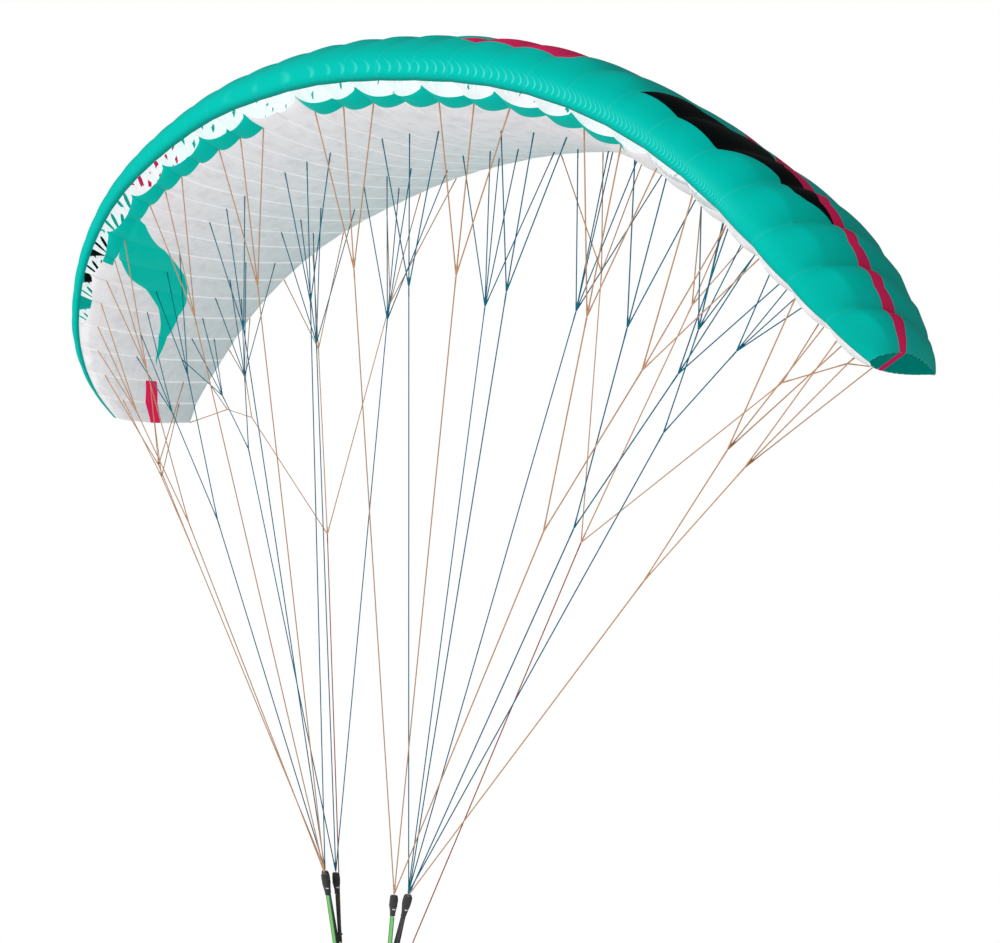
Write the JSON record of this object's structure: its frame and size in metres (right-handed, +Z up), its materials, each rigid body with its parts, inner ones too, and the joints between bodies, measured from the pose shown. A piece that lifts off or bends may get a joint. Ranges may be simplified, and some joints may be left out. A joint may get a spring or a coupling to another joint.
{
  "type": "paraglider wing",
  "caption": "Small ram-air paraglider wing as it flies: arched teal canopy with a white sheer underside, open cells at the nose, cascaded suspension lines, risers and brakes.",
  "frame": {"origin": "midway between the two harness loops at the foot of the risers", "axes": "+X along the span to the wing's side that shows its upper surface, -Y towards the leading edge, +Z up"},
  "size_m": [6.99, 2.2678, 5.8704],
  "materials": {
    "nose_cloth": "bright teal coated nylon ripstop, sewn in cell-wide strips round the nose, light sheen",
    "upper_cloth": "teal coated nylon ripstop, with black and magenta panels sewn in on the right half",
    "front_cloth": "teal coated nylon ripstop, scalloped behind the air inlets",
    "lower_cloth": "white sheer coated nylon ripstop with pale chordwise seams",
    "rib_cloth": "white hard-finished nylon ripstop with oval cut-outs",
    "line_orange": "orange unsheathed suspension line",
    "line_blue": "blue suspension line",
    "line_brake": "orange and red brake line",
    "webbing_green": "green woven polyester webbing, darker edges",
    "webbing_black": "black woven polyester webbing",
    "cover_cloth": "black soft stretch sleeve with a small light bar mark"
  },
  "bodies": {
    "root": {"brake_guide_left": "webbing_black", "brake_guide_right": "webbing_black", "brake_handle_left": "webbing_black", "brake_handle_right": "webbing_black", "cover_A_left": "cover_cloth", "cover_A_right": "cover_cloth", "cover_B_left": "cover_cloth", "cover_B_right": "cover_cloth", "cover_C_left": "cover_cloth", "cover_C_right": "cover_cloth", "front_centre": "lower_cloth", "front_left_inner": "front_cloth", "front_left_outer": "front_cloth", "front_right_inner": "front_cloth", "front_right_outer": "front_cloth", "harness_loop_left": "webbing_black", "harness_loop_right": "webbing_black", "lines_A_left": "line_orange", "lines_A_right": "line_orange", "lines_B_left": "line_blue", "lines_B_right": "line_blue", "lines_C_left": "line_blue", "lines_C_right": "line_blue", "lines_brake_left": "line_brake", "lines_brake_right": "line_brake", "lower_left": "lower_cloth", "lower_left_tip": "lower_cloth", "lower_middle": "lower_cloth", "lower_right": "lower_cloth", "lower_right_tip": "lower_cloth", "nose_left": "nose_cloth", "nose_middle": "nose_cloth", "nose_right": "nose_cloth", "rib_left_01": "rib_cloth", "rib_left_03": "rib_cloth", "rib_left_05": "rib_cloth", "rib_left_07": "rib_cloth", "rib_left_09": "rib_cloth", "rib_left_11": "rib_cloth", "rib_left_13": "rib_cloth", "rib_left_15": "rib_cloth", "rib_left_17": "rib_cloth", "rib_right_01": "rib_cloth", "rib_right_03": "rib_cloth", "rib_right_05": "rib_cloth", "rib_right_07": "rib_cloth", "rib_right_09": "rib_cloth", "rib_right_11": "rib_cloth", "rib_right_13": "rib_cloth", "rib_right_15": "rib_cloth", "rib_right_17": "rib_cloth", "riser_A_left": "webbing_green", "riser_A_right": "webbing_green", "riser_B_left": "webbing_black", "riser_B_right": "webbing_black", "riser_C_left": "webbing_black", "riser_C_right": "webbing_black", "upper_left": "upper_cloth", "upper_middle": "upper_cloth", "upper_right": "upper_cloth"}
  },
  "joints": []
}
